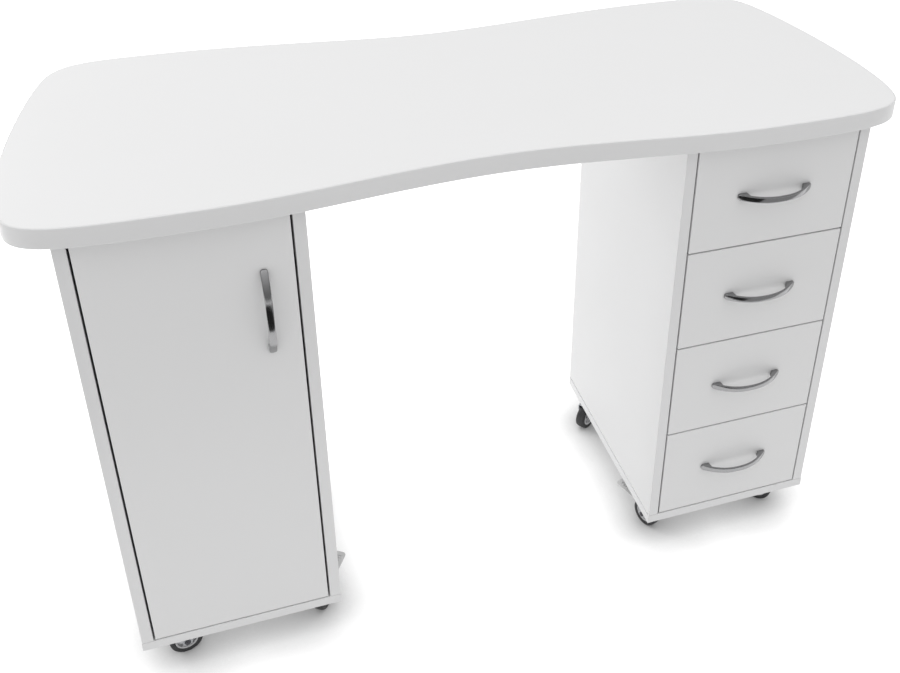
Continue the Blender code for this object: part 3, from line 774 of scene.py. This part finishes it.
# %% Wheel
WHEEL_RADIUS = 0.025
TREAD_HALF = 0.009
RIM_RADIUS = 0.0172
RIB_RADIUS = 0.0104
SPOKES = 6

tread = [(RIM_RADIUS, TREAD_HALF * 0.86), (0.0225, TREAD_HALF * 0.97), (0.0238, TREAD_HALF * 0.9)]
tread += [(0.0246, TREAD_HALF * 0.68), (0.0249, TREAD_HALF * 0.4), (WHEEL_RADIUS, 0.0)]
tyre_profile = tread + [(r, -z) for r, z in tread[-2::-1]]
on_edge = Matrix.Rotation(pi / 2, 4, "X")
tyre_mesh = turned("tyre", tyre_profile, 64, looped=True, sharp=50.0)
tyre_mesh.transform(on_edge)

hub_side = [(0.0034, 0.0088), (0.0062, 0.0088), (0.0066, 0.0084), (0.0068, 0.0042)]
hub_side += [(0.0142, 0.0038), (0.0146, 0.0072), (0.0150, 0.0076), (RIM_RADIUS - 0.0001, 0.0076)]
hub_profile = hub_side + [(r, -z) for r, z in hub_side[::-1]]
rib = plate("rib", rounded_rectangle(0.0084, 0.0016, 0.0006, 3), -0.0070, 0.0070, 0.0003)
hub_parts = [(turned("hub_ring", hub_profile, 48, looped=True), IN_PLACE)]
outwards = Matrix.Translation((RIB_RADIUS, 0, 0))
for i in range(SPOKES):
    hub_parts.append((rib, Matrix.Rotation(tau * i / SPOKES, 4, "Z") @ outwards))
hub_mesh = together("hub", hub_parts)
hub_mesh.transform(on_edge)
print("tyre points:", len(tyre_mesh.vertices), "hub points:", len(hub_mesh.vertices))

# %% The lower edge of a fork's leg
AXLE = Vector((0.024, 0.025))
EYE = 0.0075


def leg_bottom(x):
    """Height of the leg's lower edge at a distance along the castor."""
    rise = [(-0.0150, 0.0490), (-0.0080, 0.0445), (AXLE.x - EYE, 0.0262)]
    fall = [(AXLE.x + EYE, 0.0262), (0.0345, 0.0400), (0.0360, 0.0470)]
    if abs(x - AXLE.x) < EYE:
        return AXLE.y - sqrt(EYE**2 - (x - AXLE.x) ** 2)
    run = rise if x < AXLE.x else fall
    for (x0, z0), (x1, z1) in zip(run, run[1:]):
        if x0 <= x <= x1:
            return z0 + (z1 - z0) * (x - x0) / (x1 - x0)
    return run[-1][1] if x > AXLE.x else run[0][1]


print("leg's lowest point:", round(leg_bottom(AXLE.x), 4))

# %% The cut across a fork
FORK_HALF = 0.0122
STEEL = 0.002
SHOULDER = 0.0032
BRIDGE_TOP = 0.0545


def fork_ring(x):
    """The fork's cut at x: an upside-down U of bent sheet with rounded shoulders."""
    bottom = min(leg_bottom(x), BRIDGE_TOP - 0.004)
    outer = [(FORK_HALF, bottom)]
    outer += [(FORK_HALF, bottom + (BRIDGE_TOP - SHOULDER - bottom) * i / 3) for i in (1, 2)]
    inner = [(max(y - STEEL, 0.0), z) for y, z in outer]
    for line, bend in ((outer, SHOULDER), (inner, SHOULDER - STEEL)):
        for i in range(6):
            a = pi / 2 * i / 5
            y = FORK_HALF - SHOULDER + bend * cos(a)
            line.append((y, BRIDGE_TOP - SHOULDER + bend * sin(a)))
    outline = outer + [(-y, z) for y, z in outer[::-1]] + [(-y, z) for y, z in inner] + inner[::-1]
    return [(x, y, z) for y, z in outline]


print("points in one cut:", len(fork_ring(0.0)))

# %% Fork and ball race
RACE_TOP = 0.0569
stations = [-0.0150 + 0.0315 * i / 9 for i in range(10)]
stations += [AXLE.x - EYE * cos(pi * i / 12) for i in range(1, 12)]
stations += [0.0322, 0.0335, 0.0345, 0.0353, 0.0360]
fork_mesh = ringed("fork_sheet", [fork_ring(x) for x in stations], sharp=38.0)

race_profile = [(0.002, 0.0541), (0.0165, 0.0541), (0.0170, 0.0546), (0.0166, 0.0553)]
race_profile += [(0.0155, 0.0556), (0.0155, 0.0558), (0.0163, 0.0561), (0.0163, 0.0566)]
race_profile += [(0.0158, RACE_TOP), (0.002, RACE_TOP)]
race_mesh = turned("race", race_profile[::-1], 48)
print("fork stations:", len(stations))

# %% Axle, nut and screw
def hexagon(across_flats):
    radius = across_flats / 2 / cos(pi / 6)
    return [Vector((radius * cos(tau * i / 6), radius * sin(tau * i / 6))) for i in range(6)]


nut = plate("nut", hexagon(0.0080), 0.0, 0.0024, 0.0003, 2, sharp=25.0)
pin_end = turned("pin_end", [(0.0024, 0.0), (0.0024, 0.0029), (0.0020, 0.0033)], 24)
shaft = turned("shaft", [(0.0030, -FORK_HALF), (0.0030, FORK_HALF)], 24)
along_y = Matrix.Translation((AXLE.x, 0, AXLE.y)) @ FACE_BACK
axle_parts = [(shaft, along_y)]
for way in (1, -1):
    lift = Matrix.Rotation(0 if way > 0 else pi, 4, "X") @ Matrix.Translation((0, 0, FORK_HALF))
    axle_parts += [(nut, along_y @ lift), (pin_end, along_y @ lift)]
axle_mesh = together("axle_and_nuts", axle_parts, 30.0)

screw_profile = [(0.0034, 0.0), (0.0034, 0.0003), (0.0028, 0.0009), (0.0018, 0.0012)]
screw_profile += [(0.0013, 0.0012), (0.0009, 0.0005), (0.0004, 0.0004)]
screw = turned("screw_head", screw_profile, 24, sharp=30.0)
print("screw head across:", round(2 * screw_profile[0][0], 4))

# %% Swivel plate
PLATE_SIDE = 0.040
PLATE_CORNER = 0.005
PLATE_LOW = 0.0584
PLATE_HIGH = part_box("door_cabinet_bottom")[0].z - 0.0001
SCREW_SPOT = 0.0162
plate_outline = rounded_rectangle(PLATE_SIDE, PLATE_SIDE, PLATE_CORNER)
plate_parts = [(plate("swivel_plate", plate_outline, PLATE_LOW, PLATE_HIGH), IN_PLACE)]
for x, y in ((1, 1), (-1, 1), (-1, -1), (1, -1)):
    screw_at = Matrix.Translation((x * SCREW_SPOT, y * SCREW_SPOT, PLATE_LOW))
    plate_parts.append((screw, screw_at @ FACE_DOWN))
upper_race = turned("upper_race", [(0.0150, 0.0571), (0.0156, 0.0576), (0.0150, 0.0585)], 40)
plate_parts.append((upper_race, IN_PLACE))
swivel_plate = together("plate_and_screws", plate_parts, 40.0)
print("plate thickness:", round(PLATE_HIGH - PLATE_LOW, 4))

# %% Brake pedal
PEDAL_Z = 0.0473
PEDAL_HALF_THICKNESS = 0.0011
PEDAL_TIP = 0.092
PEDAL_CORNER = 0.006
EAR_BACK = 0.0270
EAR_FRONT = 0.0505
TREAD_BARS = 5


def pedal_outline():
    """Two ears beside the fork that join into one tongue with rounded corners."""
    ear_in, ear_out = FORK_HALF + 0.0006, FORK_HALF + 0.0028
    half = [Vector((EAR_BACK, ear_out)), Vector((EAR_BACK, ear_in)), Vector((EAR_FRONT, ear_in))]
    outline = half + [Vector((p.x, -p.y)) for p in half[::-1]]
    for first, middle_y in ((-pi / 2, -ear_out + PEDAL_CORNER), (0.0, ear_out - PEDAL_CORNER)):
        for i in range(6):
            a = first + pi / 2 * i / 5
            x = PEDAL_TIP - PEDAL_CORNER + PEDAL_CORNER * cos(a)
            outline.append(Vector((x, middle_y + PEDAL_CORNER * sin(a))))
    return outline


pedal_low, pedal_high = PEDAL_Z - PEDAL_HALF_THICKNESS, PEDAL_Z + PEDAL_HALF_THICKNESS
pedal_parts = [(plate("pedal_plate", pedal_outline(), pedal_low, pedal_high, 0.0004), IN_PLACE)]
tread_bar = plate("tread_bar", rounded_rectangle(0.0022, 0.020, 0.0010, 3), 0.0, 0.0012, 0.0004)
for i in range(TREAD_BARS):
    bar_at = Matrix.Translation((0.0640 + 0.0050 * i, 0, PEDAL_Z + 0.0009))
    pedal_parts.append((tread_bar, bar_at))
pedal_mesh = together("pedal", pedal_parts, 35.0)
print("pedal reaches", PEDAL_TIP, "m from its swivel")


# %% Castors in place
def castor_place(number):
    swivel = Vector(joints[f"swivel_castor_{number}"]["pos_m"])
    wheel = Vector(joints[f"wheel_castor_{number}"]["pos_m"])
    heading = atan2(wheel.y - swivel.y, wheel.x - swivel.x)
    return spot(swivel.x, swivel.y, 0.0, heading), heading


for number in range(1, 9):
    at, heading = castor_place(number)
    wheel_at = at @ Matrix.Translation((AXLE.x, 0, AXLE.y))
    square = spot(at.translation.x, at.translation.y, 0.0)
    name, body, wheel_body = f"castor_{number}", f"castor_{number}", f"wheel_{number}"
    wheel_node, fork_node = [f"{name}_wheel"], [f"{name}_fork"]
    fit(f"{name}_tyre", tyre_mesh, tyre_black, wheel_body, wheel_at, wheel_node)
    fit(f"{name}_hub", hub_mesh, hub_grey, wheel_body, wheel_at)
    fit(f"{name}_sheet", fork_mesh, zinc, body, at, fork_node)
    fit(f"{name}_race", race_mesh, zinc, body, at)
    fit(f"{name}_axle", axle_mesh, dark_steel, body, at)
    fit(f"{name}_plate", swivel_plate, zinc, "table", square)
    brake, pedal_node = f"brake_{number}", [f"brake_pedal_{number}"]
    if brake in frame["bodies"]:
        fit(f"{name}_pedal", pedal_mesh, pedal_grey, brake, at, pedal_node)
    print(name, "heading", round(heading * 180 / pi))

# %% [markdown]
# ## Hinge fittings, catch and shelf pins
# The door hangs on two cup hinges. Their arms and cups are already solid; here they get the ears
# that are screwed to the door, the pins in the knuckles and the screws in the cabinet's side. A
# magnetic catch holds the door shut, and the shelf rests on four pins. These are plates and turned
# pins, so the helpers above make them, and each rides on the side that it is screwed to.

# %% Hinge fittings
EAR_RISE = 0.0240
PLAY = 0.0002
ARM_SCREWS = (0.012, 0.036)
ARM_FACE = 0.0019
door_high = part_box("door_panel")[1]
side_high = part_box("door_cabinet_outer_side")[1]
pivot = Vector(joints["door_hinge"]["pos_m"])
pin_profile = [(0.0011, -0.0066), (0.0014, -0.0062), (0.0014, 0.0062), (0.0011, 0.0066)]
knuckle_pin = turned("knuckle_pin", pin_profile, 20)
ear = plate("ear", rounded_rectangle(0.012, 0.0085, 0.003), 0.0, 0.0010, 0.0002)
for level in ("upper", "lower"):
    cup_low, cup_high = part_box(f"door_hinge_cup_{level}")
    middle = (cup_low + cup_high) / 2
    ears = []
    for way in (1, -1):
        lift = Matrix.Translation((middle.x, door_high.y + PLAY, middle.z + way * EAR_RISE))
        ears.append((ear, lift @ FACE_BACK))
        ears.append((screw, lift @ Matrix.Translation((0, 0.001, 0)) @ FACE_BACK))
    fit(f"hinge_ears_{level}", together("ears", ears), nickel, "door")
    pin_at = spot(pivot.x, pivot.y, middle.z)
    fit(f"hinge_pin_{level}", knuckle_pin, nickel, "table", pin_at)
    arm_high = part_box(f"door_hinge_arm_{level}")[1]
    heads = []
    for along in ARM_SCREWS:
        place = Matrix.Translation((side_high.x + ARM_FACE, arm_high.y - along, middle.z))
        heads.append((screw, place @ FACE_RIGHT))
    fit(f"hinge_screws_{level}", together("arm_screws", heads), nickel, "table")

# %% Catch and strike
CATCH_Z = 0.705
inner_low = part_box("door_cabinet_inner_side")[0]
block = plate("catch_block", rounded_rectangle(0.012, 0.046, 0.002), -0.0065, 0.0065, 0.001)
catch = Matrix.Translation((inner_low.x - 0.0063, door_high.y + 0.0250, CATCH_Z))
fit("door_catch", block, nylon, "table", catch)
strike = plate("strike", rounded_rectangle(0.011, 0.034, 0.003), 0.0, 0.0012, 0.0003)
strike_at = Matrix.Translation((inner_low.x - 0.0095, door_high.y + PLAY, CATCH_Z)) @ FACE_BACK
fit("door_strike", strike, nickel, "door", strike_at)
print("catch at height", CATCH_Z)

# %% Shelf pins
PIN_RADIUS = 0.0024
COLLAR_RADIUS = 0.0042
PIN_BELOW = 0.0045
PIN_FROM_EDGE = 0.045
shelf_low, shelf_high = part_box("door_cabinet_shelf")
pin_profile = [(PIN_RADIUS, 0.0), (PIN_RADIUS, 0.0076), (0.0020, 0.0080)]
collar_profile = [(PIN_RADIUS, 0.0), (COLLAR_RADIUS, 0.0)]
collar_profile += [(COLLAR_RADIUS, 0.0012), (PIN_RADIUS, 0.0012)]
collar = turned("collar", collar_profile, 20, looped=True)
pin = together("shelf_pin", [(turned("pin", pin_profile, 20), IN_PLACE), (collar, IN_PLACE)])
pins = []
for x, way in ((side_high.x + PLAY, 1), (inner_low.x - PLAY, -1)):
    for y in (shelf_low.y + PIN_FROM_EDGE, shelf_high.y - PIN_FROM_EDGE):
        turn = Matrix.Rotation(way * pi / 2, 4, "Y")
        pins.append((pin, Matrix.Translation((x, y, shelf_low.z - PIN_BELOW)) @ turn))
fit("shelf_pins", together("shelf_pins", pins), nickel, "table")
print("shelf pins:", len(pins))

# %% [markdown]
# ## Runners
# Each drawer hangs on two roller runners. The cabinet's profile is already there. The drawer's own
# profile is a bent strip on the side of the box, with its flange over a nylon roller at the front
# of the cabinet's profile, while a second roller at its rear end runs on the cabinet's flange. The
# front roller stays with the cabinet and the rear one goes with the drawer, as on the real thing.
# The strip could be a sheet thickened by a modifier, but two rings of its cut are enough.

# %% Rollers and rivets
ROLLER_RADIUS = 0.0090
ROLLER_FROM_SIDE = 0.0060
FRONT_ROLLER_Z = 0.0117
REAR_ROLLER_Z = 0.0105
roller_profile = [(0.0016, 0.0034), (0.0070, 0.0034), (0.0082, 0.0036), (ROLLER_RADIUS, 0.0028)]
roller_profile += [(r, -z) for r, z in roller_profile[::-1]]
roller = turned("roller", roller_profile, 32, looped=True)
rivet_profile = [(0.0015, -0.0052), (0.0015, 0.0040), (0.0026, 0.0041)]
rivet_profile += [(0.0026, 0.0047), (0.0018, 0.0051)]
rivet = turned("rivet", rivet_profile, 20)
print("roller across:", 2 * ROLLER_RADIUS)

# %% Runners in place
RUNNER_ROOM = 0.0125
RUNNER_LENGTH = 0.300
RUNNER_START = 0.003
ROLLER_INSET = 0.012
# The strip's cut: away from the cabinet's side, and up from the runner's lower edge.
STRIP_CUT = ((0.0113, 0.0065), (0.0113, 0.0205), (0.0108, 0.0210), (0.0020, 0.0210))
STRIP_CUT += ((0.0020, 0.0222), (0.0114, 0.0222), (0.0121, 0.0219), (0.0124, 0.0212))
STRIP_CUT += ((0.0124, 0.0065),)


def fit_runner(number, side):
    low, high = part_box(f"runner_{number}_{side}")
    box_low, box_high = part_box(f"drawer_{number}_box")
    way = 1 if low.x < box_low.x else -1
    wall = box_low.x - RUNNER_ROOM if way > 0 else box_high.x + RUNNER_ROOM
    front = box_low.y + RUNNER_START
    rear = box_low.y + (RUNNER_START + RUNNER_LENGTH)
    cuts = [[(wall + way * d, y, low.z + z) for d, z in STRIP_CUT] for y in (front, rear)]
    body = f"drawer_{number}"
    strip = ringed("drawer_profile", cuts)
    fit(f"{body}_{side}_profile", strip, coated, body)
    across = Matrix.Rotation(way * pi / 2, 4, "Y")
    x = wall + way * ROLLER_FROM_SIDE
    ends = (
        ("front", "table", low.y + ROLLER_INSET, FRONT_ROLLER_Z, IN_PLACE),
        ("rear", body, rear - ROLLER_INSET, REAR_ROLLER_Z, FACE_DOWN),
    )
    for end, rides, y, lift, turn in ends:
        name = f"runner_{number}_{side}_{end}"
        at = Matrix.Translation((x, y, low.z + lift)) @ across
        fit(f"{name}_roller", roller, nylon, rides, at)
        fit(f"{name}_rivet", rivet, nickel, rides, at @ turn)


for number in range(1, 5):
    for side in ("outer", "inner"):
        fit_runner(number, side)

# %% [markdown]
# ## Screws that hold it together
# The handles are held from behind by two screws each, seen when a drawer or the door is open. Short
# nails hold the thin backs. Screws go up through the rails into the worktop, and up through the
# bottom boards into the sides. All of them are copies of one turned head, joined into one piece for
# each board. They are small, but furniture without them looks like a toy.

# %% Handle screws
BOX_WALL = 0.012
FLUSH = 0.0001
for name, (middle, length) in handle_spots.items():
    reach = length / 2 - HANDLE_FOOT / 2
    depth = door_high.y if name == "door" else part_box(f"{name}_box")[0].y + BOX_WALL
    heads = []
    for way in (reach, -reach):
        x, z = (middle.x, middle.z + way) if name == "door" else (middle.x + way, middle.z)
        heads.append((screw, Matrix.Translation((x, depth + FLUSH, z)) @ FACE_BACK))
    screws = together("handle_screws", heads)
    fit(f"{name}_handle_screws", screws, zinc, name)
print("handles screwed on:", len(handle_spots))

# %% Nails in the backs
NAIL_ROW = 7
NAIL_FROM_SIDE = 0.007
NAIL_FROM_END = 0.010
nail_head = turned("nail_head", [(0.0027, 0.0), (0.0027, 0.0003), (0.0021, 0.0006)], 16)


def nails_of(cabinet):
    low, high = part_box(f"{cabinet}_back")
    places = []
    for x in (low.x + NAIL_FROM_SIDE, high.x - NAIL_FROM_SIDE):
        for i in range(NAIL_ROW):
            rise = (high.z - low.z - 2 * NAIL_FROM_END) * i / (NAIL_ROW - 1)
            places.append((x, low.z + NAIL_FROM_END + rise))
    places += [((low.x + high.x) / 2, z) for z in (low.z + 0.008, high.z - 0.008)]
    return [(nail_head, Matrix.Translation((x, high.y, z)) @ FACE_BACK) for x, z in places]


print("nails in one back:", len(nails_of("door_cabinet")))

# %% Screws in the rails and bottoms
RAIL_SCREW_IN = 0.05
BOTTOM_SCREW_SIDE = 0.009
BOTTOM_SCREW_IN = 0.09


def screws_of(cabinet):
    places = []
    for rail in ("front_rail", "rear_rail"):
        low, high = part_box(f"{cabinet}_{rail}")
        for x in (low.x + RAIL_SCREW_IN, high.x - RAIL_SCREW_IN):
            places.append((x, (low.y + high.y) / 2, low.z - FLUSH))
    low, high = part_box(f"{cabinet}_bottom")
    for x in (low.x + BOTTOM_SCREW_SIDE, high.x - BOTTOM_SCREW_SIDE):
        for y in (low.y + BOTTOM_SCREW_IN, high.y - BOTTOM_SCREW_IN, (low.y + high.y) / 2):
            places.append((x, y, low.z - FLUSH))
    return [(screw, Matrix.Translation(place) @ FACE_DOWN) for place in places]


for cabinet in ("door_cabinet", "drawer_cabinet"):
    nails = together("nails", nails_of(cabinet))
    fit(f"{cabinet}_nails", nails, zinc, "table")
    screws = together("screws", screws_of(cabinet))
    fit(f"{cabinet}_screws", screws, zinc, "table")
shown = [made for made in scene.objects if made.type == "MESH" and not made.hide_render]
print("pieces shown, with the room's:", len(shown))

# %% [markdown]
# ## Size of the finished table
# The finished table must be as large as the packed model, no more and no less.
